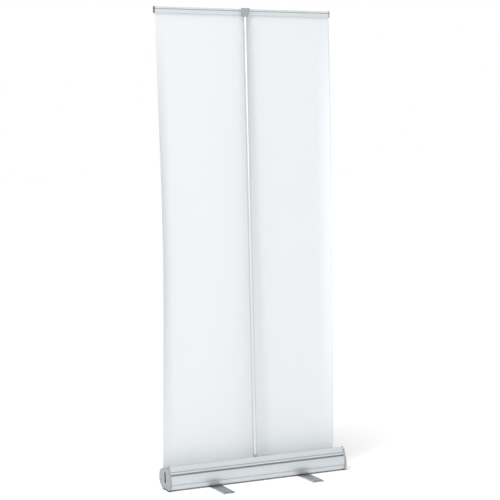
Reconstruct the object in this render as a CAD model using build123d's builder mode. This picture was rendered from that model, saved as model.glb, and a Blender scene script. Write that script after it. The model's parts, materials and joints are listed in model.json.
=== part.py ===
"""Roll-up banner stand: a spring roller in an aluminium base, a three-section pole and a banner sheet.

Frame: X runs along the base, +Y is the printed side of the banner, +Z is up. The origin is on the floor,
midway between the two foot pivots. All lengths are in millimetres.
"""
from math import atan2, cos, degrees, radians, sin
import os

from build123d import *

os.makedirs("parts", exist_ok=True)

# ---------------------------------------------------------------- driving dimensions
sheet_width = 850.0          # standard banner width
visible_height = 2000.0      # standard banner height above the base slot
sheet_thickness = 0.4
slot_y = 38.0                # where the banner leaves the base
sheet_top_y = 50.0           # where it enters the top rail

base_length = 856.0          # aluminium base extrusion, between its end caps
cap_thickness = 11.0
wall = 2.0
floor_z = 7.5                # underside of the extrusion's floor
deck_z = 90.0                # flat top of the extrusion
lip_z = 106.0                # top of the rear lip
front_radius = 37.0          # rounded front shoulder
slot_half = 3.5              # half the width of the gap that the banner comes out of

roller_radius = 14.0
roller_length = 842.0
roller_z = 40.0
wound_radius = 14.9          # outside of the turns that stay on the roller

foot_length = 416.0
foot_width = 52.0
foot_height = 6.5
foot_pivot_x = 218.0

pole_radius = 9.0
pole_wall = 1.0
pole_foot_y = -16.0          # where the pole's axis meets the bottom of its socket
pole_foot_z = 13.0
pole_top_y = 33.5
pole_top_z = 2078.0
ferrule_length = 80.0
running_gap = 0.05

rail_z = deck_z - 24.0 + visible_height      # underside of the top rail
rail_height = 27.0
rail_rear_y = 44.0
rail_depth = 13.0
rail_cap = 3.0
hook_engagement = 12.0       # how far the hook's tongue reaches up into the rail

# ---------------------------------------------------------------- derived values
half_base = base_length / 2
half_width = sheet_width / 2
shoulder_y = 10.0                            # where the deck turns into the rounded shoulder
shoulder_z = deck_z - front_radius
front_y = shoulder_y + front_radius
roller_y = slot_y - 0.5 - wound_radius       # the film leaves the roller straight up
pole_lean = atan2(pole_top_y - pole_foot_y, pole_top_z - pole_foot_z)
pole_length = (pole_top_z - pole_foot_z) / cos(pole_lean)
section_length = pole_length / 3
pole_direction = (0, sin(pole_lean), cos(pole_lean))
roller_axis = Plane(origin=(0, roller_y, roller_z), x_dir=(0, 1, 0), z_dir=(1, 0, 0))
boss_centres = [(-59.0, 48.0), (-54.0, 30.0), (-27.0, 13.5)]
boss_radius = 4.5
screw_radius = 1.6
badge_y = -23.0
badge_z = 57.0
badge_height = 58.0
badge_width = 21.0


def save(piece, name):
    """Label one finished piece and write it as its own STEP file."""
    piece.part.label = name
    export_step(piece.part, f"parts/{name}.step")


def pole_plane(distance):
    """Plane square to the leaning pole, a distance up its axis from the foot."""
    origin = (0, pole_foot_y + distance * sin(pole_lean), pole_foot_z + distance * cos(pole_lean))
    return Plane(origin=origin, x_dir=(1, 0, 0), z_dir=pole_direction)


# ---------------------------------------------------------------- base extrusion
with BuildPart() as base_housing:
    with BuildSketch(Plane.YZ.offset(-half_base)):
        with BuildLine():
            Polyline(
                (-43.5, deck_z), (-45.5, lip_z), (-48.5, lip_z), (-53, 84), (-52.2, 83.2), (-52.2, 81), (-57, 80.2)
            )
            ThreePointArc((-57, 80.2), (-60.2, 76.8), (-57, 73.4))
            Polyline((-57, 73.4), (-52.2, 72.8), (-52.2, 67.6), (-61.5, 65.5))
            ThreePointArc((-61.5, 65.5), (-68, 45), (-65.3, 28.6))
            Polyline((-65.3, 28.6), (-63.6, 26.8), (-65, 25), (-62, floor_z), (8, floor_z))
            TangentArc((8, floor_z), (45.5, 34), tangent=(1, 0))
            ThreePointArc((45.5, 34), (46.8, 43), (front_y, shoulder_z))
            ThreePointArc(
                (front_y, shoulder_z),
                (shoulder_y + front_radius * cos(radians(45)), shoulder_z + front_radius * sin(radians(45))),
                (shoulder_y, deck_z),
            )
            Line((shoulder_y, deck_z), (-43.5, deck_z))
        make_face()
        # the hollow: pole bay behind, roller bay in front
        inner_radius = front_radius - wall
        with BuildLine():
            Polyline((-45.5, deck_z - wall), (-47, 98), (-48, 98), (-50.2, 84), (-50.2, 66), (-59.5, 63.5))
            ThreePointArc((-59.5, 63.5), (-66, 45), (-62, 28))
            Polyline((-62, 28), (-60.2, floor_z + wall), (8, floor_z + wall))
            TangentArc((8, floor_z + wall), (43.6, 35), tangent=(1, 0))
            ThreePointArc((43.6, 35), (44.8, 44), (front_y - wall, shoulder_z))
            ThreePointArc(
                (front_y - wall, shoulder_z),
                (shoulder_y + inner_radius * cos(radians(45)), shoulder_z + inner_radius * sin(radians(45))),
                (shoulder_y, deck_z - wall),
            )
            Line((shoulder_y, deck_z - wall), (-45.5, deck_z - wall))
        make_face(mode=Mode.SUBTRACT)
        with Locations((slot_y, deck_z - 14)):
            Rectangle(2 * slot_half, 28, mode=Mode.SUBTRACT)
        # bosses that take the end-cap screws
        with Locations((-62.5, 48), (-60.5, 30)):
            Rectangle(8, 3)
        with Locations(*boss_centres):
            Circle(boss_radius)
            Circle(screw_radius, mode=Mode.SUBTRACT)
    extrude(amount=base_length)
    # bore for the pole socket, through the deck and past the boss below it
    with BuildSketch(pole_plane(-2.5)):
        Circle(pole_radius + 3.2)
    extrude(amount=deck_z, mode=Mode.SUBTRACT)
    # rivet holes of the two feet
    with BuildSketch(Plane.XY.offset(floor_z)):
        with Locations((-foot_pivot_x, 0), (foot_pivot_x, 0)):
            Circle(3)
    extrude(amount=wall, mode=Mode.SUBTRACT)
save(base_housing, "base_housing")

# ---------------------------------------------------------------- end caps and what sits in them
cap_outer = half_base + cap_thickness
cap_bottom = 5.5
with BuildPart() as end_cap_right:
    with BuildSketch(Plane.YZ.offset(half_base)):
        with BuildLine():
            Polyline((-22, 96), (-42, 109), (-48.5, 109), (-55, 83), (-57, 72), (-63, 66))
            ThreePointArc((-63, 66), (-69.8, 44), (-65, cap_bottom))
            Line((-65, cap_bottom), (8, cap_bottom))
            ThreePointArc((8, cap_bottom), (31, 13.6), (47.3, 33))
            ThreePointArc((47.3, 33), (48.7, 43), (front_y + 2, shoulder_z))
            ThreePointArc(
                (front_y + 2, shoulder_z),
                (shoulder_y + 39 * cos(radians(45)), shoulder_z + 39 * sin(radians(45))),
                (shoulder_y, deck_z + 2),
            )
            Line((shoulder_y, deck_z + 2), (-22, 96))
        make_face()
        fillet(vertices().group_by(Axis.Y)[0], 4)
    extrude(amount=cap_thickness)
    fillet(faces().sort_by(Axis.X)[-1].edges(), 2.4)
    # the fin above the deck is thinner than the body
    with BuildSketch(Plane.YZ.offset(half_base + 5)):
        with Locations((-45, 104)):
            Rectangle(90, 14)
    extrude(amount=cap_thickness, mode=Mode.SUBTRACT)
    # recess of the oblong badge
    with BuildSketch(Plane.YZ.offset(cap_outer - 3)):
        with Locations((badge_y, badge_z)):
            SlotOverall(badge_height, badge_width, rotation=90)
    extrude(amount=3, mode=Mode.SUBTRACT)
    # roller bearing and screw holes
    with BuildSketch(Plane.YZ.offset(half_base)):
        with Locations((roller_y, roller_z)):
            Circle(4 + running_gap)
        with Locations(*boss_centres):
            Circle(1.8)
    extrude(amount=cap_thickness, mode=Mode.SUBTRACT)
    with BuildSketch(Plane.YZ.offset(cap_outer - 3)):
        with Locations(*boss_centres):
            Circle(3.2)
    extrude(amount=3, mode=Mode.SUBTRACT)
save(end_cap_right, "end_cap_right")

with BuildPart() as end_cap_left:
    mirror(end_cap_right.part, about=Plane.YZ)
save(end_cap_left, "end_cap_left")

with BuildPart() as slot_rim_right:
    with BuildSketch(Plane.YZ.offset(cap_outer - 3)):
        with Locations((badge_y, badge_z)):
            SlotOverall(badge_height - 0.1, badge_width - 0.1, rotation=90)
            SlotOverall(badge_height - 4, badge_width - 4, rotation=90, mode=Mode.SUBTRACT)
    extrude(amount=4)
    fillet(faces().sort_by(Axis.X)[-1].edges(), 0.6)
save(slot_rim_right, "slot_rim_right")

with BuildPart() as slot_rim_left:
    mirror(slot_rim_right.part, about=Plane.YZ)
save(slot_rim_left, "slot_rim_left")

with BuildPart() as slot_insert_right:
    with BuildSketch(Plane.YZ.offset(cap_outer - 3)):
        with Locations((badge_y, badge_z)):
            SlotOverall(badge_height - 4.1, badge_width - 4.1, rotation=90)
    extrude(amount=3.5)
save(slot_insert_right, "slot_insert_right")

with BuildPart() as slot_insert_left:
    mirror(slot_insert_right.part, about=Plane.YZ)
save(slot_insert_left, "slot_insert_left")

with BuildPart() as cap_screws_right:
    with BuildSketch(Plane.YZ.offset(half_base - 14)):
        with Locations(*boss_centres):
            Circle(screw_radius - 0.02)
    extrude(amount=cap_thickness + 14 - 2.5)
    with BuildSketch(Plane.YZ.offset(cap_outer - 3)):
        with Locations(*boss_centres):
            Circle(3.1)
    extrude(amount=2.2)
    # cross recess
    with BuildSketch(Plane.YZ.offset(cap_outer - 2)):
        with Locations(*boss_centres):
            Rectangle(3.6, 0.8)
            Rectangle(0.8, 3.6)
    extrude(amount=2, mode=Mode.SUBTRACT)
save(cap_screws_right, "cap_screws_right")

with BuildPart() as cap_screws_left:
    mirror(cap_screws_right.part, about=Plane.YZ)
save(cap_screws_left, "cap_screws_left")

with BuildPart() as rubber_pads_right:
    with BuildSketch():
        with Locations((half_base + cap_thickness / 2, -45), (half_base + cap_thickness / 2, -5)):
            RectangleRounded(8, 24, 2)
    extrude(amount=cap_bottom)
save(rubber_pads_right, "rubber_pads_right")

with BuildPart() as rubber_pads_left:
    mirror(rubber_pads_right.part, about=Plane.YZ)
save(rubber_pads_left, "rubber_pads_left")

# ---------------------------------------------------------------- pole socket and slot guides
socket_outer = pole_radius + 3
socket_top = (deck_z + 3 - pole_foot_z) / cos(pole_lean)
with BuildPart() as pole_socket:
    with BuildSketch(pole_plane(-2)):
        Circle(socket_outer)
    extrude(amount=socket_top + 2)
    with BuildSketch(pole_plane(socket_top - 2.5)):
        Circle(socket_outer + 5)
    extrude(amount=2.5)
    fillet(faces().sort_by(Axis.Z)[-1].outer_wire().edges(), 1.2)
    with BuildSketch(pole_plane(0)):
        Circle(pole_radius + running_gap)
    extrude(amount=socket_top + 2, mode=Mode.SUBTRACT)
save(pole_socket, "pole_socket")

slot_z = shoulder_z + (front_radius**2 - (slot_y - shoulder_y) ** 2) ** 0.5
with BuildPart() as slot_guides:
    for side, height in ((-1, slot_z + 0.5), (1, slot_z - 5.5)):
        with BuildSketch(Plane.YZ.offset(-half_base)):
            with Locations((slot_y + side * (slot_half - 0.55), height)):
                RectangleRounded(1, 7, 0.45)
        extrude(amount=base_length)
save(slot_guides, "slot_guides")

# ---------------------------------------------------------------- swivelling feet
rib_offset = 7.0
tread = 1.7
notch_spacing = 14.0
notch_width = 5.0
notch_length = 12.0
clinch_z = 1.8
for side, sign in (("left", -1), ("right", 1)):
    pivot = sign * foot_pivot_x
    with BuildPart() as foot:
        with BuildSketch(Plane.XZ.offset(-foot_length / 2)):
            with Locations((pivot, foot_height - tread / 2)):
                Rectangle(foot_width, tread)
            for edge in (-1, 1):
                with Locations((pivot + edge * (foot_width / 2 - 1), foot_height / 2 + 0.5)):
                    Rectangle(2, foot_height - 1)
                with Locations((pivot + edge * rib_offset, foot_height / 2)):
                    Rectangle(2.4, foot_height)
                # shallow grooves along the tread
                with Locations((pivot + edge * rib_offset, foot_height), (pivot + edge * 19, foot_height)):
                    Rectangle(1.6, 1, mode=Mode.SUBTRACT)
        extrude(amount=foot_length)
        # pivot hole, and three notches in each end of the tread
        with BuildSketch(Plane.XY):
            with Locations((pivot, 0)):
                Circle(3 + running_gap)
            for end in (-1, 1):
                with Locations((pivot, end * foot_length / 2)):
                    with GridLocations(notch_spacing, 1, 3, 1):
                        RectangleRounded(notch_width, 2 * notch_length, notch_width / 2 - 0.1)
        extrude(amount=foot_height, mode=Mode.SUBTRACT)
    save(foot, f"foot_{side}")

    with BuildPart() as foot_washer:
        with BuildSketch(Plane.XY.offset(foot_height + 0.05)):
            with Locations((pivot, 0)):
                Circle(12)
                Circle(3.05, mode=Mode.SUBTRACT)
        extrude(amount=floor_z - foot_height - 0.05)
    save(foot_washer, f"foot_washer_{side}")

    with BuildPart() as foot_rivet:
        with BuildSketch(Plane.XY.offset(clinch_z)):
            with Locations((pivot, 0)):
                Circle(5.5)
        extrude(amount=2)
        with BuildSketch(Plane.XY.offset(clinch_z)):
            with Locations((pivot, 0)):
                Circle(3)
        extrude(amount=floor_z + wall - clinch_z)
        with BuildSketch(Plane.XY.offset(floor_z + wall)):
            with Locations((pivot, 0)):
                Circle(6)
        extrude(amount=2)
        fillet(faces().sort_by(Axis.Z)[-1].edges(), 1.2)
    save(foot_rivet, f"foot_rivet_{side}")

# ---------------------------------------------------------------- spring roller
half_roller = roller_length / 2
tube_bore = roller_radius - 1.2
arbor_radius = 4.0
arbor_end = -150.0

with BuildPart() as roller_tube:
    with BuildSketch(roller_axis.offset(-half_roller)):
        Circle(roller_radius)
        Circle(tube_bore, mode=Mode.SUBTRACT)
    extrude(amount=roller_length)
save(roller_tube, "roller_tube")

with BuildPart() as wound_sheet:
    with BuildSketch(roller_axis.offset(-half_roller)):
        Circle(wound_radius)
        Circle(roller_radius + 0.02, mode=Mode.SUBTRACT)
    extrude(amount=roller_length)
save(wound_sheet, "wound_sheet")

with BuildPart() as spring_arbor:
    with BuildSketch(roller_axis.offset(-cap_outer - 1)):
        RegularPolygon(arbor_radius - 0.1, 6)
    extrude(amount=cap_thickness + 1)
    with BuildSketch(roller_axis.offset(-half_base)):
        Circle(arbor_radius)
    extrude(amount=half_base + arbor_end)
save(spring_arbor, "spring_arbor")

with BuildPart() as torsion_spring:
    with BuildSketch(roller_axis.offset(-395)):
        Circle(7.6)
        Circle(5.4, mode=Mode.SUBTRACT)
    extrude(amount=225)
save(torsion_spring, "torsion_spring")

with BuildPart() as roller_plug_left:
    with BuildSketch(roller_axis.offset(-half_roller - 2)):
        Circle(roller_radius)
        Circle(arbor_radius + running_gap, mode=Mode.SUBTRACT)
    extrude(amount=2)
    with BuildSketch(roller_axis.offset(-half_roller)):
        Circle(tube_bore - 0.02)
        Circle(arbor_radius + running_gap, mode=Mode.SUBTRACT)
    extrude(amount=22)
save(roller_plug_left, "roller_plug_left")

with BuildPart() as spring_plug:
    with BuildSketch(roller_axis.offset(arbor_end - 18)):
        Circle(tube_bore - 0.02)
    extrude(amount=22)
    with BuildSketch(roller_axis.offset(arbor_end - 18)):
        Circle(arbor_radius + running_gap)
    extrude(amount=19, mode=Mode.SUBTRACT)
save(spring_plug, "spring_plug")

with BuildPart() as roller_plug_right:
    with BuildSketch(roller_axis.offset(half_roller)):
        Circle(roller_radius)
        Circle(arbor_radius, mode=Mode.SUBTRACT)
    extrude(amount=2)
    with BuildSketch(roller_axis.offset(half_roller - 22)):
        Circle(tube_bore - 0.02)
        Circle(arbor_radius, mode=Mode.SUBTRACT)
    extrude(amount=22)
save(roller_plug_right, "roller_plug_right")

with BuildPart() as roller_axle:
    with BuildSketch(roller_axis.offset(half_roller - 24)):
        Circle(arbor_radius)
    extrude(amount=cap_outer - half_roller + 24)
    chamfer(faces().sort_by(Axis.X)[-1].edges(), 0.8)
save(roller_axle, "roller_axle")

# ---------------------------------------------------------------- pole
sections = ("pole_lower", "pole_middle", "pole_upper")
for number, name in enumerate(sections):
    with BuildPart() as pole_section:
        with BuildSketch(pole_plane(number * section_length)):
            Circle(pole_radius)
            Circle(pole_radius - pole_wall, mode=Mode.SUBTRACT)
        extrude(amount=section_length)
    save(pole_section, name)

for number, name in enumerate(("ferrule_lower", "ferrule_upper"), start=1):
    with BuildPart() as ferrule:
        with BuildSketch(pole_plane(number * section_length - ferrule_length / 2)):
            Circle(pole_radius - pole_wall - 0.02)
            Circle(pole_radius - pole_wall - 1.2, mode=Mode.SUBTRACT)
        extrude(amount=ferrule_length)
    save(ferrule, name)

cord_radius = 2.0
plug_length = 20.0
for name, start in (("pole_foot_plug", 1.0), ("pole_top_plug", pole_length - plug_length - 1)):
    with BuildPart() as plug:
        with BuildSketch(pole_plane(start)):
            Circle(pole_radius - pole_wall - 0.02)
            Circle(cord_radius + 0.05, mode=Mode.SUBTRACT)
        extrude(amount=plug_length)
    save(plug, name)

with BuildPart() as shock_cord:
    with BuildSketch(pole_plane(1.5)):
        Circle(cord_radius)
    extrude(amount=pole_length - 3)
save(shock_cord, "shock_cord")

# ---------------------------------------------------------------- hook on top of the pole
hook_top_z = rail_z + rail_height + 2
hook_bottom_z = rail_z - 9.5
hook_rear_y = 23.0
hook_depth = rail_rear_y - 0.5 - hook_rear_y
hook_half = 17.0
collar_bottom = (hook_bottom_z - pole_foot_z) / cos(pole_lean)
with BuildPart() as pole_hook:
    # tapered body behind the rail, wider at the top
    with BuildSketch(Plane.XZ.offset(-hook_rear_y)):
        with BuildLine():
            Polyline(
                (-9.5, rail_z - 7), (-hook_half, rail_z + 17), (-hook_half, hook_top_z), (-5, hook_top_z),
                (-3, hook_top_z - 5), (3, hook_top_z - 5), (5, hook_top_z), (hook_half, hook_top_z),
                (hook_half, rail_z + 17), (9.5, rail_z - 7),
                close=True,
            )
        make_face()
    extrude(amount=-hook_depth)
    # two ribs that run down its back in a V
    for side in (-1, 1):
        with BuildSketch(Plane.XZ.offset(-hook_rear_y)):
            with BuildLine():
                Polyline(
                    (side * 13, hook_top_z - 1), (side * 9, hook_top_z - 1),
                    (side * 1.5, rail_z - 3), (side * 5, rail_z - 3),
                    close=True,
                )
            make_face()
        extrude(amount=1.5)
    # collar round the pole
    with BuildSketch(pole_plane(collar_bottom)):
        Circle(pole_radius + 2.3)
    extrude(amount=8)
    # ledge under the rail, and the tongue that reaches up inside it
    with BuildSketch(Plane.YZ.offset(-10)):
        with Locations((44.8, rail_z - 3.1)):
            Rectangle(6, 6)
        with Locations((46.8, rail_z - 3 + hook_engagement / 2)):
            Rectangle(2, hook_engagement + 6)
    extrude(amount=20)
    # socket for the pole's top
    with BuildSketch(pole_plane(collar_bottom - 5)):
        Circle(pole_radius + 0.02)
    extrude(amount=pole_length - collar_bottom + 5.2, mode=Mode.SUBTRACT)
save(pole_hook, "pole_hook")

# ---------------------------------------------------------------- top rail
rail_front_y = rail_rear_y + rail_depth
jaw_y = sheet_top_y - 0.35
bead_radius = 5.2
bead_z = rail_z + rail_height - bead_radius
with BuildPart() as rail_channel:
    with BuildSketch(Plane.YZ.offset(-half_width)):
        # tilted foot, flat back, and a round bead along the top
        with BuildLine():
            Polyline(
                (rail_rear_y + bead_radius, rail_z + rail_height), (rail_front_y, rail_z + rail_height),
                (rail_front_y, rail_z), (rail_rear_y + 0.7, rail_z), (rail_rear_y + 0.5, rail_z + 8),
                (rail_rear_y, rail_z + 8.4), (rail_rear_y, rail_z + 16), (rail_rear_y + 2.4, rail_z + 16.6),
                (rail_rear_y + bead_radius - bead_radius * cos(radians(50)), bead_z - bead_radius * sin(radians(50))),
            )
            ThreePointArc(
                (rail_rear_y + bead_radius - bead_radius * cos(radians(50)), bead_z - bead_radius * sin(radians(50))),
                (rail_rear_y, bead_z),
                (rail_rear_y + bead_radius, rail_z + rail_height),
            )
        make_face()
        fillet(vertices().group_by(Axis.Y)[-1].sort_by(Axis.X)[-1], 4)
        # pocket that drops over the hook's tongue
        with Locations((rail_rear_y + 2.9, rail_z + 7.5)):
            Rectangle(2.8, 15, mode=Mode.SUBTRACT)
        # chamber of the clamp bar, open below for the banner
        with Locations(((jaw_y + rail_front_y - 1.6) / 2, rail_z + 9.25)):
            Rectangle(rail_front_y - 1.6 - jaw_y, 15.5, mode=Mode.SUBTRACT)
        with Locations((jaw_y + 0.9, rail_z + 1)):
            Rectangle(1.8, 2, mode=Mode.SUBTRACT)
        # hollow top
        with Locations(((rail_rear_y + 3.5 + rail_front_y - 1.8) / 2, bead_z)):
            Rectangle(rail_depth - 5.3, 5.5, mode=Mode.SUBTRACT)
    extrude(amount=sheet_width)
save(rail_channel, "rail_channel")

with BuildPart() as rail_clamp_bar:
    with BuildSketch(Plane.YZ.offset(-half_width)):
        with Locations(((sheet_top_y + 0.3 + rail_front_y - 1.7) / 2, rail_z + 9)):
            RectangleRounded(rail_front_y - 1.7 - sheet_top_y - 0.3, 12, 1)
    extrude(amount=sheet_width)
save(rail_clamp_bar, "rail_clamp_bar")

with BuildPart() as rail_cap_right:
    with BuildSketch(Plane.YZ.offset(half_width)):
        with Locations(((rail_rear_y + rail_front_y) / 2, rail_z + rail_height / 2)):
            RectangleRounded(rail_depth + 2.4, rail_height + 2.4, 4.5)
    extrude(amount=rail_cap)
    fillet(faces().sort_by(Axis.X)[-1].edges(), 1)
save(rail_cap_right, "rail_cap_right")

with BuildPart() as rail_cap_left:
    mirror(rail_cap_right.part, about=Plane.YZ)
save(rail_cap_left, "rail_cap_left")

# ---------------------------------------------------------------- banner sheet and its leader
sheet_bottom = 58.0
sheet_top = rail_z + 14
half_thickness = sheet_thickness / 2
with BuildPart() as banner_sheet:
    with BuildSketch(Plane.YZ.offset(-half_width)):
        with BuildLine():
            Polyline(
                (slot_y + 0.1 - half_thickness, sheet_bottom), (slot_y + 0.1 + half_thickness, sheet_bottom),
                (sheet_top_y + half_thickness, sheet_top), (sheet_top_y - half_thickness, sheet_top),
                close=True,
            )
        make_face()
    extrude(amount=sheet_width)
save(banner_sheet, "banner_sheet")

leader_top = 70.0
leader_y = slot_y - 0.3
with BuildPart() as leader_sheet:
    with BuildSketch(Plane.YZ.offset(-half_roller)):
        with Locations((leader_y, (roller_z + leader_top) / 2)):
            Rectangle(0.3, leader_top - roller_z)
    extrude(amount=roller_length)
save(leader_sheet, "leader_sheet")

print("pole lean", round(degrees(pole_lean), 3), "degrees, section", round(section_length, 1), "mm")
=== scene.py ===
# %% [markdown]
# # A roll-up banner stand
# The stand is a banner film on a spring roller. An aluminium base holds the roller, two flat feet swivel
# out from under the base, and a pole behind the film holds the top rail up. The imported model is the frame:
# every metal and moulded part except the spring comes from it at its real size, and this script gives
# them their finishes. The banner, its leader, the film left on the roller and the roller's spring are new
# surfaces, worked out here from the frame's own measurements.

import json
from math import atan2, cos, degrees, pi, radians, sin

import bpy
import numpy as np
from mathutils import Matrix, Vector


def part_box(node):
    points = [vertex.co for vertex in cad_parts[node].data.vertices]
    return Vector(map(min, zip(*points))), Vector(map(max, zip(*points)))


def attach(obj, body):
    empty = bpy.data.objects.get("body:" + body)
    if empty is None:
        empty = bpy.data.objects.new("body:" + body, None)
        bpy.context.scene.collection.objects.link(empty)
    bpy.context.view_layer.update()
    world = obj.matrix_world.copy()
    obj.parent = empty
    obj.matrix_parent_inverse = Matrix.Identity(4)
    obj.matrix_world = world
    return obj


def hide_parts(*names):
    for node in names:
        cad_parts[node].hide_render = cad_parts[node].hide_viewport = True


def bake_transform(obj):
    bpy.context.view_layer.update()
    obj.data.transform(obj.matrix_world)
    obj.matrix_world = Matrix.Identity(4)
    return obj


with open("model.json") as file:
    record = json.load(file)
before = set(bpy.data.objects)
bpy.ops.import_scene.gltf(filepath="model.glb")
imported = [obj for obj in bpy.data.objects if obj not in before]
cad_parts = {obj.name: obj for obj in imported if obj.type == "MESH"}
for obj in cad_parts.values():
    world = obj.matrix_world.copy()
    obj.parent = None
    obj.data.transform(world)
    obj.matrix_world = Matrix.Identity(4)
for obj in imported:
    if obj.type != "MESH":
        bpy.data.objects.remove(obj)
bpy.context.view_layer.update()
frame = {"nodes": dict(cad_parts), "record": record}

# %% [markdown]
# ## Measures
# What the frame can say is not typed in again. A node's box says where it is and how big it is, and the
# record's own joints say where the pivots are and how far the pole leans. Only what no box shows, such as
# the height of a groove, is a named value here.

# %% Measures from the frame
joints = {joint["name"]: joint for joint in frame["record"]["behaviour"]["joints"]}
pole_way = joints["pole_lift"]["axis"]
lean = atan2(pole_way[1], pole_way[2])


def box_of(name):
    """The low and the high corner of a node's box, as arrays."""
    low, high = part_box(name)
    return np.array(low), np.array(high)


rail_low, rail_high = box_of("rail_channel")
base_top = box_of("base_housing")[1][2]
sheet_low, sheet_high = box_of("banner_sheet")
roller_centre = np.array(joints["roller_spin"]["pos_m"], float)
print("the pole leans", round(degrees(lean), 2), "degrees")
print("the film is", round(sheet_high[0] - sheet_low[0], 3), "m wide")


# %% [markdown]
# ## Writing a finish
# A finish is a small sum: a base value, plus some grain, times a mask. Blender adds one node for each step
# of such a sum, which is slow to write and hard to read. The class below wraps a socket, so that a finish
# can be written as an ordinary expression. Colours go through Mix, because a Math node would turn them
# grey.

# %% A socket that does sums
class Value:
    """A socket whose value varies over a surface. Plus and times each add a Math node."""

    def __init__(self, finish, socket):
        self.finish = finish
        self.socket = socket

    def step(self, operation, first, second):
        return self.finish.node("Math", {"operation": operation}, {0: first, 1: second})

    def __add__(self, other):
        return self.step("ADD", self, other)

    def __mul__(self, other):
        return self.step("MULTIPLY", self, other)

    __radd__ = __add__


# %% [markdown]
# A finish starts as one Principled shader. What is the same all over the surface is set on the shader's own
# sockets, and only what varies is linked: colour, roughness and the normal.

# %% A finish
class Finish:
    """One material, with its constant values set and a method for every other node."""

    def __init__(self, name, **constants):
        self.material = bpy.data.materials.new(name)
        self.material.use_nodes = True
        self.tree = self.material.node_tree
        self.shader = self.tree.nodes["Principled BSDF"]
        for socket, value in constants.items():
            self.shader.inputs[socket.replace("_", " ")].default_value = value

    def node(self, kind, settings=None, sockets=None, output=0):
        """A node of that kind: its settings first, then the values or links of its sockets."""
        made = self.tree.nodes.new("ShaderNode" + kind)
        for name, value in (settings or {}).items():
            setattr(made, name, value)
        for name, value in (sockets or {}).items():
            if isinstance(value, Value):
                self.tree.links.new(value.socket, made.inputs[name])
            else:
                made.inputs[name].default_value = value
        return Value(self, made.outputs[output])

    def place(self, scale):
        """Object coordinates, in metres, times a scale along each axis."""
        point = self.node("TexCoord", output=3)
        return self.node("Mapping", None, {"Vector": point, "Scale": scale})

    def grain(self, scale, detail=3.0, roughness=0.6):
        """Noise from 0 to 1. scale is how many lumps there are in a metre along each axis."""
        return self.node("TexNoise", None, {
            "Vector": self.place(scale), "Scale": 1.0, "Detail": detail, "Roughness": roughness})

    def blend(self, mask, first, second):
        """One colour where the mask is 0, the other where it is 1."""
        return self.node("Mix", {"data_type": "RGBA"}, {0: mask, 6: first, 7: second}, output=2)

    def drive(self, socket, value):
        """The value, or the result of an expression, decides that socket of the shader."""
        self.tree.links.new(value.socket, self.shader.inputs[socket])

    def relief(self, height, depth, edge=0.0004):
        """Bumps of that depth in metres, over edges that are softened by a small radius."""
        softened = self.node("Bevel", {"samples": 4}, {"Radius": edge})
        bumps = self.node("Bump", None, {
            "Height": height, "Distance": depth, "Strength": 1.0, "Normal": softened})
        self.drive("Normal", bumps)


def colour(red, green, blue):
    """A colour with full alpha."""
    return (red, green, blue, 1.0)


def darkened(tone, share):
    """That share of a tone, as a colour."""
    return colour(*(channel * share for channel in tone))


# %% [markdown]
# ## Anodised aluminium
# An extrusion comes out of its die with faint lines along its length, and the anodising turns them satin.
# The lines are noise that is stretched a few hundred times along the extrusion. The same finish serves the
# base, the rail, the feet and the pole, each with its own direction.

# %% Anodised finishes
def anodised(name, along, tone, roughness, metallic=0.85):
    """Satin aluminium with die lines along one axis, 0, 1 or 2. The finish keeps its tone to build on."""
    made = Finish(name, Metallic=metallic, IOR=1.6, Base_Color=colour(*tone))
    fine = [1400.0, 1400.0, 1400.0]
    fine[along] = 3.0
    broad = [55.0, 55.0, 55.0]
    broad[along] = 1.5
    lines = made.grain(fine, detail=4.0)
    cloud = made.grain(broad, detail=2.0)
    made.tone = made.blend(cloud * 0.6 + lines * 0.3, colour(*tone), darkened(tone, 0.90))
    made.drive("Base Color", made.tone)
    made.drive("Roughness", roughness + lines * 0.10 + cloud * 0.06)
    made.relief(lines, 0.00001)
    return made


satin_pole = anodised("satin aluminium, pole", 2, (0.66, 0.67, 0.68), roughness=0.24).material
mill_tube = anodised("mill aluminium, hidden tubes", 0, (0.60, 0.60, 0.60), roughness=0.45).material
mill_ferrule = anodised("mill aluminium, ferrules", 2, (0.60, 0.60, 0.60), roughness=0.40).material
print("plain anodised finishes made")

# %% [markdown]
# The base and the rail are duller than the pole, because a wide extrusion is etched before it is anodised.
# Their grooves get a darker line of painted shade, where a recess falls into shadow. A Compare node gives 1
# within a band of heights, and a second test on the depth keeps the line inside the groove. The base has
# three such
# lines: in its groove, in the notch under its lip, and in the V line low down. The rail has one, under its
# bead.

# %% Grooved extrusions with painted shade
# painted shade: the dark colour laid into the grooves, where a recess falls into shadow
painted_groove_shade = colour(0.10, 0.105, 0.11)


def grooved(name, tone, roughness, bands):
    """Satin extrusion with a line of painted shade in each groove.

    Each groove gives its middle height, half its height, the Y of its mouth, and the strength of the line.
    """
    made = anodised(name, 0, tone, metallic=0.45, roughness=roughness)
    apart = made.tree.nodes.new("ShaderNodeSeparateXYZ")
    made.tree.links.new(made.place((1.0, 1.0, 1.0)).socket, apart.inputs[0])
    depth, height = Value(made, apart.outputs["Y"]), Value(made, apart.outputs["Z"])
    for middle, half, mouth, strength in bands.values():
        inside = made.node("Math", {"operation": "COMPARE"}, {0: height, 1: middle, 2: half})
        behind = made.node("Math", {"operation": "GREATER_THAN"}, {0: depth, 1: mouth})
        # paints shade into the band of each groove
        made.tone = made.blend(inside * behind * strength, made.tone, painted_groove_shade)
    made.drive("Base Color", made.tone)
    return made.material


# bands of painted shade on the base, one for each groove
base_groove_shade = {
    "groove": (0.0702, 0.0030, -0.0560, 0.55),
    "notch": (0.0822, 0.0014, -0.0550, 0.35),
    "v_line": (0.0268, 0.0016, -0.0646, 0.30),
}
bead_height = 0.0098
bead_face = 0.0003
# the rail's band of painted shade, under its bead
rail_groove_shade = {"under_bead": (rail_high[2] - bead_height, 0.0022, rail_low[1] + bead_face, 0.40)}
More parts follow.
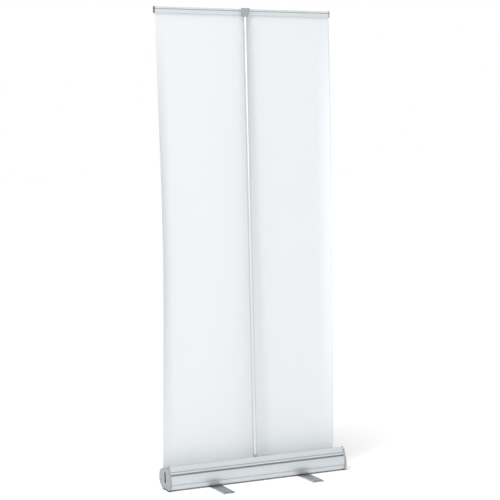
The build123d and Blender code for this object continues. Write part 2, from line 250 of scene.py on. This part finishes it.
# base and rail finishes, with painted shade in their grooves
satin_base = grooved("satin aluminium, base", (0.60, 0.63, 0.65), 0.46, base_groove_shade)
satin_rail = grooved("satin aluminium, rail", (0.66, 0.69, 0.71), 0.42, rail_groove_shade)

# %% [markdown]
# The feet are polished, and where a foot reaches under the base it gets painted shade, dark as the
# base's shadow. The painted shade is a disc about the pivot that fades at its rim, so it is worked out from
# the distance to the pivot, and it turns with the foot.

# %% Feet with painted shade
def shaded_foot(name, pivot, inner, outer):
    """Polished aluminium with painted shade towards the pivot: full dark within inner, none beyond outer."""
    made = anodised(name, 1, (0.46, 0.475, 0.485), metallic=0.9, roughness=0.24)
    flat_place = made.place((1.0, 1.0, 0.0))
    away = made.node("VectorMath", {"operation": "DISTANCE"}, {0: flat_place, 1: pivot}, output=1)
    faded = made.node("MapRange", {"interpolation_type": "SMOOTHSTEP"}, {
        0: away, 1: inner, 2: outer, 3: 1.0, 4: 0.0})
    cloud = made.grain((90.0, 90.0, 90.0), detail=4.0)
    # paints the base's shade on the foot, darkest near the pivot
    made.tone = made.blend(faded * (0.75 + cloud * 0.25), made.tone, colour(0.02, 0.021, 0.022))
    made.drive("Base Color", made.tone)
    return made.material


# where the painted shade is full and where it ends, as distances from the pivot in metres
shade_from, shade_to = 0.072, 0.125
satin_feet = {}
for side in ("left", "right"):
    pivot = joints[f"foot_{side}_swivel"]["pos_m"]
    centre_of_shade = (pivot[0], pivot[1], 0.0)
    # each foot gets painted shade about its own pivot
    satin_feet[side] = shaded_foot(f"satin aluminium, {side} foot", centre_of_shade, shade_from, shade_to)
print("grooved and shaded finishes made")

# %% [markdown]
# ## Moulded plastic, nylon and rubber
# The caps come from a spark-eroded mould, which leaves a fine even grain. Two sizes of noise make it: a
# coarse one that shifts the tone a little, as flow marks do, and a fine one for the relief.

# %% Plastic and rubber finishes
def moulded(name, tone, roughness, grain_depth=0.00004, lumps=900.0, specular=0.5):
    """A moulded part: fine grain in relief, with a slight drift of tone and gloss."""
    made = Finish(name, Base_Color=colour(*tone), IOR=1.5, Specular_IOR_Level=specular)
    fine = made.grain([lumps] * 3, detail=2.0)
    flow = made.grain([18.0] * 3, detail=3.0)
    made.drive("Base Color", made.blend(flow * 0.7 + fine * 0.3, colour(*tone), darkened(tone, 0.90)))
    made.drive("Roughness", roughness + fine * 0.08 + flow * 0.06)
    made.relief(fine, grain_depth, edge=0.0006)
    return made.material


grey_cap = moulded("grey plastic, end caps", (0.33, 0.345, 0.355), 0.42)
pale_grey = moulded("grey plastic, hook", (0.33, 0.37, 0.37), 0.36)
rail_grey = moulded("dark grey plastic, rail caps", (0.13, 0.14, 0.145), 0.40)
rim_grey = moulded("pale plastic, badge rim", (0.66, 0.67, 0.68), 0.32)
black_plastic = moulded("black plastic", (0.010, 0.010, 0.011), 0.65, specular=0.12)
rubber = moulded("black rubber", (0.020, 0.020, 0.020), 0.75, grain_depth=0.00008, lumps=600.0)
nylon = moulded("natural nylon", (0.78, 0.77, 0.73), 0.45, grain_depth=0.00001)
elastic = moulded("elastic cord", (0.05, 0.05, 0.055), 0.80, grain_depth=0.0002, lumps=700.0)


# %% [markdown]
# ## Zinc plate and spring steel
# Screws and rivets are zinc plated. The plate is bright, with a faint cloud of blue and yellow, so two
# tones are mixed by a broad noise. The spring, its arbor and the roller's axle are darker, because they are
# left in oil.

# %% Steel finishes
def plated(name, first, second, roughness):
    """Plated or oiled steel: two tones in soft clouds."""
    made = Finish(name, Metallic=1.0, Base_Color=colour(*first))
    cloud = made.grain([120.0] * 3, detail=3.0)
    made.drive("Base Color", made.blend(cloud, colour(*first), colour(*second)))
    made.drive("Roughness", roughness + cloud * 0.15)
    made.relief(made.grain([1500.0] * 3), 0.00001, edge=0.0002)
    return made.material


zinc = plated("bright zinc plate", (0.62, 0.64, 0.67), (0.66, 0.64, 0.58), 0.22)
oiled = plated("oiled spring steel", (0.20, 0.20, 0.21), (0.26, 0.24, 0.22), 0.35)


# %% [markdown]
# ## Banner film
# The film is a matt polyester with a cast surface, not a woven cloth. It shows no threads, only a very fine
# tooth, and a faint unevenness of the coat that is a few centimetres across. Both are noise on the object's
# own coordinates, so they stay still when the banner moves.

# %% Film finish
def film(name, tone, roughness):
    """Matt cast film: fine tooth in relief, faint unevenness of the coat."""
    made = Finish(name, Base_Color=colour(*tone), IOR=1.45, Specular_IOR_Level=0.25)
    tooth = made.grain([2200.0] * 3, detail=2.0)
    coat = made.grain([9.0] * 3, detail=4.0)
    made.drive("Base Color", made.blend(coat * 0.8 + tooth * 0.2, colour(*tone), darkened(tone, 0.975)))
    made.drive("Roughness", roughness + coat * 0.08)
    made.drive("Normal", made.node("Bump", None, {"Height": tooth, "Distance": 0.00001, "Strength": 1.0}))
    return made.material


banner_film = film("banner film", (0.69, 0.715, 0.73), 0.55)
leader_film = film("leader film", (0.74, 0.745, 0.75), 0.40)

# %% [markdown]
# Every part that comes from the frame gets its finish by assigning to its own material slots.

# %% Finishes on the frame's parts
finish_of = {
    satin_base: ("base_housing",),
    satin_rail: ("rail_channel", "rail_clamp_bar"),
    satin_feet["left"]: ("foot_left",),
    satin_feet["right"]: ("foot_right",),
    mill_tube: ("roller_tube",),
    mill_ferrule: ("ferrule_lower", "ferrule_upper"),
    satin_pole: ("pole_lower", "pole_middle", "pole_upper"),
    grey_cap: ("end_cap_left", "end_cap_right"),
    pale_grey: ("pole_hook",),
    rail_grey: ("rail_cap_left", "rail_cap_right"),
    rim_grey: ("slot_rim_left", "slot_rim_right"),
    black_plastic: ("slot_insert_left", "slot_insert_right", "pole_socket", "pole_foot_plug",
                    "pole_top_plug"),
    rubber: ("rubber_pads_left", "rubber_pads_right"),
    zinc: ("cap_screws_left", "cap_screws_right", "foot_rivet_left", "foot_rivet_right"),
    oiled: ("torsion_spring", "spring_arbor", "roller_axle"),
    nylon: ("slot_guides", "foot_washer_left", "foot_washer_right", "roller_plug_left", "roller_plug_right",
            "spring_plug"),
    banner_film: ("banner_sheet", "wound_sheet"),
    leader_film: ("leader_sheet",),
    elastic: ("shock_cord",),
}
for material, names in finish_of.items():
    for name in names:
        slots = frame["nodes"][name].data.materials
        slots.clear()
        slots.append(material)
print("finishes set on", sum(map(len, finish_of.values())), "parts")


# %% [markdown]
# ## Surfaces from grids
# Each new piece is a grid of points, worked out with numpy as one array. An open grid is a sheet, and a
# grid whose columns close on themselves is a tube, such as a wire.

# %% A mesh from a grid of points
def skin(name, grid, material, tube=False):
    """A piece whose every grid cell is one quad. A tube's columns join up, and its two ends are closed."""
    rows, columns = grid.shape[:2]
    index = np.arange(rows * columns).reshape(rows, columns)
    if tube:
        index = np.hstack((index, index[:, :1]))
    quads = np.stack((index[:-1, :-1], index[:-1, 1:], index[1:, 1:], index[1:, :-1]), axis=-1)
    faces = quads.reshape(-1, 4).tolist()
    if tube:
        faces += [index[0, :columns][::-1].tolist(), index[-1, :columns].tolist()]
    mesh = bpy.data.meshes.new(name)
    mesh.from_pydata(grid.reshape(-1, 3).tolist(), [], faces)
    mesh.polygons.foreach_set("use_smooth", np.ones(len(faces), bool))
    mesh.set_sharp_from_angle(angle=radians(40))
    mesh.materials.append(material)
    piece = bpy.data.objects.new(name, mesh)
    bpy.context.scene.collection.objects.link(piece)
    print(f"{name}: {len(faces)} faces")
    return piece


def thicken(piece, thickness):
    """Gives a sheet its thickness, half of it on each side."""
    solid = piece.modifiers.new("film thickness", "SOLIDIFY")
    solid.thickness = thickness
    solid.offset = 0


# %% [markdown]
# ## The banner
# The film hangs between the slot in the base and the top rail. Both hold it flat, but half way up nothing
# does, and the coat pulls its two long edges back towards the pole. The bend is only in a strip along each
# edge. It could be a cloth simulation, but a film does not stretch, so its shape is known: across the film
# the depth grows with the square of the way into the strip, and along the height it follows half a sine
# wave. The way across is worked out so that the film keeps its width, and the edge moves in as it curls.
# The curl starts inside the slot, a little below the top of the base. The lower end runs a few millimetres
# below its CAD solid, so that it still laps the leader when the pole and the rail are lifted.

# %% The banner's surface
edge_strip = 0.062
curl_depth = 0.026
below_base_top = 0.03
steepest = 0.98
film_thickness = 0.0004
lap = 0.004
film_bottom = sheet_low[2] - lap
film_width = sheet_high[0] - sheet_low[0]
film_height = sheet_high[2] - film_bottom


def banner_points(across, up):
    """Points for each distance across the flat film and each share of its height.

    Depth is curl_depth times sin(pi free) times share squared, where free runs from 0 to 1 between the slot
    and the rail, and share from 0 to 1 over the edge strip. The way across is the running sum of the square
    root of 1 minus the slope squared, so lengths on the film stay.
    """
    half = across[-1]
    share = np.clip((np.abs(across) - (half - edge_strip)) / edge_strip, 0, 1)
    height = film_bottom + up * film_height
    curl_start = base_top - below_base_top
    free = np.clip((height - curl_start) / (rail_low[2] - curl_start), 0, 1)
    swell = curl_depth * np.sin(pi * free)[:, None]
    depth = swell * share**2
    slope = 2 * swell * share / edge_strip
    step = np.sqrt(1 - np.minimum(slope, steepest) ** 2)
    gaps = np.diff(across) * (step[:, 1:] + step[:, :-1]) / 2
    width = np.hstack((np.zeros((len(up), 1)), np.cumsum(gaps, axis=1)))
    width -= width[:, -1:] / 2
    middle = np.linspace(sheet_low[1], sheet_high[1] - film_thickness, len(up))[:, None] + film_thickness / 2
    return np.stack((width, middle - depth, np.broadcast_to(height[:, None], depth.shape)), axis=-1)


columns_each = 13
rows_up = 121
inner = np.linspace(-film_width / 2 + edge_strip, film_width / 2 - edge_strip, columns_each)
strip = np.linspace(0, edge_strip, columns_each)[1:]
across = np.hstack((inner[0] - strip[::-1], inner, inner[-1] + strip))
banner = skin("banner", banner_points(across, np.linspace(0, 1, rows_up)), banner_film)
thicken(banner, film_thickness)
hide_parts("banner_sheet")
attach(banner, "rail")

# %% [markdown]
# ## The leader
# The banner is joined to a leader, a plain strip that stays on the roller. It comes off the roller straight
# up, beside the banner's lower edge, and it is the one piece that has to span a joint: its lower end stays
# with the base and its upper end goes up with the pole. Here it is a flat strip over the leader's box, left
# in place and not attached to either body. A real leader would wind off the roller instead, which a flat
# strip can't show.

# %% The leader's surface
leader_low, leader_high = box_of("leader_sheet")
leader_middle = (leader_low[1] + leader_high[1]) / 2
leader_across = np.linspace(leader_low[0], leader_high[0], 9)
leader_up = np.linspace(leader_low[2], leader_high[2], 9)
leader_x, leader_z = np.meshgrid(leader_across, leader_up)
leader_grid = np.stack((leader_x, np.full_like(leader_x, leader_middle), leader_z), axis=-1)
leader = skin("leader", leader_grid, leader_film)
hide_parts("leader_sheet")
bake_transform(leader)

# %% [markdown]
# ## Film on the roller
# When the banner is up, the last turns of film stay wound on the roller. In section they are a spiral: the
# radius grows a little with the angle. It ends level with the roller's axis, on the side that faces the
# banner, where the film leaves straight up. The grid's rows follow the spiral and its columns cross the
# film.

# %% The wound film's surface
wound_low, wound_high = box_of("wound_sheet")
tube_low, tube_high = box_of("roller_tube")
turns = 3
steps_in_a_turn = 64
wound_thickness = 0.0002
outside = (wound_high[2] - wound_low[2]) / 2 - wound_thickness
inside = (tube_high[2] - tube_low[2]) / 2 + wound_thickness
angle = np.linspace(0, -2 * pi * turns, steps_in_a_turn * turns + 1)
radius = outside + (inside - outside) * angle / angle[-1]
across_wound = np.linspace(wound_low[0], wound_high[0], 7)
spiral = np.stack((np.zeros_like(angle), roller_centre[1] + radius * np.cos(angle),
                   roller_centre[2] + radius * np.sin(angle)), axis=-1)
wound_grid = spiral[:, None, :] + np.stack((across_wound, 0 * across_wound, 0 * across_wound), axis=-1)[None]
wound = skin("wound_film", wound_grid, leader_film)
thicken(wound, wound_thickness)
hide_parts("wound_sheet")
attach(wound, "roller")

# %% [markdown]
# ## The torsion spring
# The spring is one steel wire, coiled round the fixed arbor inside the roller. A coil is a circle carried
# along a helix. At each point the circle lies across the wire, so its two directions are the outward one
# and the one square to both the wire and the outward one.

# %% The spring's surface
spring_low, spring_high = box_of("torsion_spring")
wire_radius = 0.0008
clearance = 0.0001
coil_radius = (spring_high[2] - spring_low[2]) / 2 - wire_radius - clearance
coils = 50
steps_in_a_coil = 20
turn = np.linspace(0, 2 * pi * coils, steps_in_a_coil * coils + 1)
spring_length = spring_high[0] - spring_low[0] - 2 * wire_radius
run = spring_low[0] + wire_radius + spring_length * turn / turn[-1]
outward = np.stack((np.zeros_like(turn), np.cos(turn), np.sin(turn)), axis=-1)
centre = np.stack((run, np.full_like(turn, roller_centre[1]), np.full_like(turn, roller_centre[2])), axis=-1)
centre += coil_radius * outward
along = np.gradient(centre, axis=0)
along /= np.linalg.norm(along, axis=1, keepdims=True)
sideways = np.cross(along, outward)
round_wire = np.linspace(0, 2 * pi, 8, endpoint=False)[None, :, None]
spring_grid = centre[:, None] + wire_radius * (np.cos(round_wire) * outward[:, None]
                                               + np.sin(round_wire) * sideways[:, None])
spring = skin("roller_spring", spring_grid, oiled, tube=True)
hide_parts("torsion_spring")
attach(spring, "base")

# %% [markdown]
# ## Camera
# The camera is on the pole's side of the stand, to its left, and looks slightly down. It is turned by three
# angles, so that each can be changed alone: which way it looks, how far down, and how far it is rolled.

# %% Camera
camera_place = Vector((-2.761, -5.749, 1.533))
camera_azimuth, camera_pitch, camera_roll = radians(25.6), radians(4.52), radians(-0.67)
camera_data = bpy.data.cameras.new("camera")
camera_data.sensor_width = 36.0
camera_data.lens = 103.7
camera_data.clip_end = 100.0
camera = bpy.data.objects.new("camera", camera_data)
ahead = Vector((sin(camera_azimuth) * cos(camera_pitch), cos(camera_azimuth) * cos(camera_pitch),
                -sin(camera_pitch)))
level = Vector((cos(camera_azimuth), -sin(camera_azimuth), 0))
upward = level.cross(ahead)
right = cos(camera_roll) * level + sin(camera_roll) * upward
top = -sin(camera_roll) * level + cos(camera_roll) * upward
camera.matrix_world = Matrix.Translation(camera_place) @ Matrix((right, top, -ahead)).transposed().to_4x4()
bpy.context.scene.collection.objects.link(camera)
bpy.context.scene.camera = camera

# %% [markdown]
# ## Floor and surround
# The floor is a large plain pale sheet. The surround is a ramp on the height of each direction: white at
# the horizon, dimmer above it so that metal has something dark to reflect, and brighter again overhead.

# %% Floor and surround
floor_mesh = bpy.data.meshes.new("floor")
reach = 40.0
floor_mesh.from_pydata([(-reach, -reach, 0), (reach, -reach, 0), (reach, reach, 0), (-reach, reach, 0)], [],
                       [(0, 1, 2, 3)])
floor_finish = Finish("pale floor", Base_Color=colour(0.97, 0.97, 0.97), Specular_IOR_Level=0.1)
floor_finish.drive("Roughness", 0.85 + floor_finish.grain([3.0] * 3) * 0.1)
floor_mesh.materials.append(floor_finish.material)
floor = bpy.data.objects.new("floor", floor_mesh)
bpy.context.scene.collection.objects.link(floor)

world = bpy.data.worlds.new("surround")
world.use_nodes = True
sky = world.node_tree
direction = sky.nodes.new("ShaderNodeTexCoord").outputs["Generated"]
height = sky.nodes.new("ShaderNodeSeparateXYZ")
bands = sky.nodes.new("ShaderNodeValToRGB")
bands.color_ramp.interpolation = "EASE"
brightness = ((0.0, 1.0), (0.12, 1.0), (0.40, 0.55), (1.0, 0.80))
for number, (rise, grey) in enumerate(brightness):
    if number > 1:
        bands.color_ramp.elements.new(rise)
    bands.color_ramp.elements[number].position = rise
    bands.color_ramp.elements[number].color = colour(grey, grey, grey)
sky.links.new(direction, height.inputs[0])
sky.links.new(height.outputs["Z"], bands.inputs["Fac"])
sky.links.new(bands.outputs["Color"], sky.nodes["Background"].inputs["Color"])
sky.nodes["Background"].inputs["Strength"].default_value = 1.0
bpy.context.scene.world = world
bpy.context.scene.view_settings.view_transform = "Standard"


# %% [markdown]
# ## Lamps
# There are three soft lamps: a panel high on the left, a wider panel near the camera, and a sun with a very
# broad disc, high up on the camera's side.

# %% Lamps
def panel(name, place, aim, width, height, power):
    """A soft rectangular lamp that looks at a point."""
    lamp = bpy.data.lights.new(name, "AREA")
    lamp.shape = "RECTANGLE"
    lamp.size = width
    lamp.size_y = height
    lamp.energy = power
    holder = bpy.data.objects.new(name, lamp)
    way = Vector(aim) - Vector(place)
    holder.matrix_world = Matrix.Translation(place) @ way.to_track_quat("-Z", "Y").to_matrix().to_4x4()
    bpy.context.scene.collection.objects.link(holder)


panel("key panel", place=(-3.6, -2.4, 3.0), aim=(0, 0, 1.0), width=1.2, height=1.8, power=40)
overhead = bpy.data.lights.new("overhead", "SUN")
overhead.energy = 1.5
overhead.angle = radians(35)
overhead_holder = bpy.data.objects.new("overhead", overhead)
towards_sun = Vector((-0.45, -0.35, 1.0))
overhead_holder.matrix_world = towards_sun.to_track_quat("Z", "Y").to_matrix().to_4x4()
bpy.context.scene.collection.objects.link(overhead_holder)
panel("camera panel", place=(-3.0, -6.2, 2.3), aim=(0, 0, 1.6), width=2.0, height=2.4, power=40)
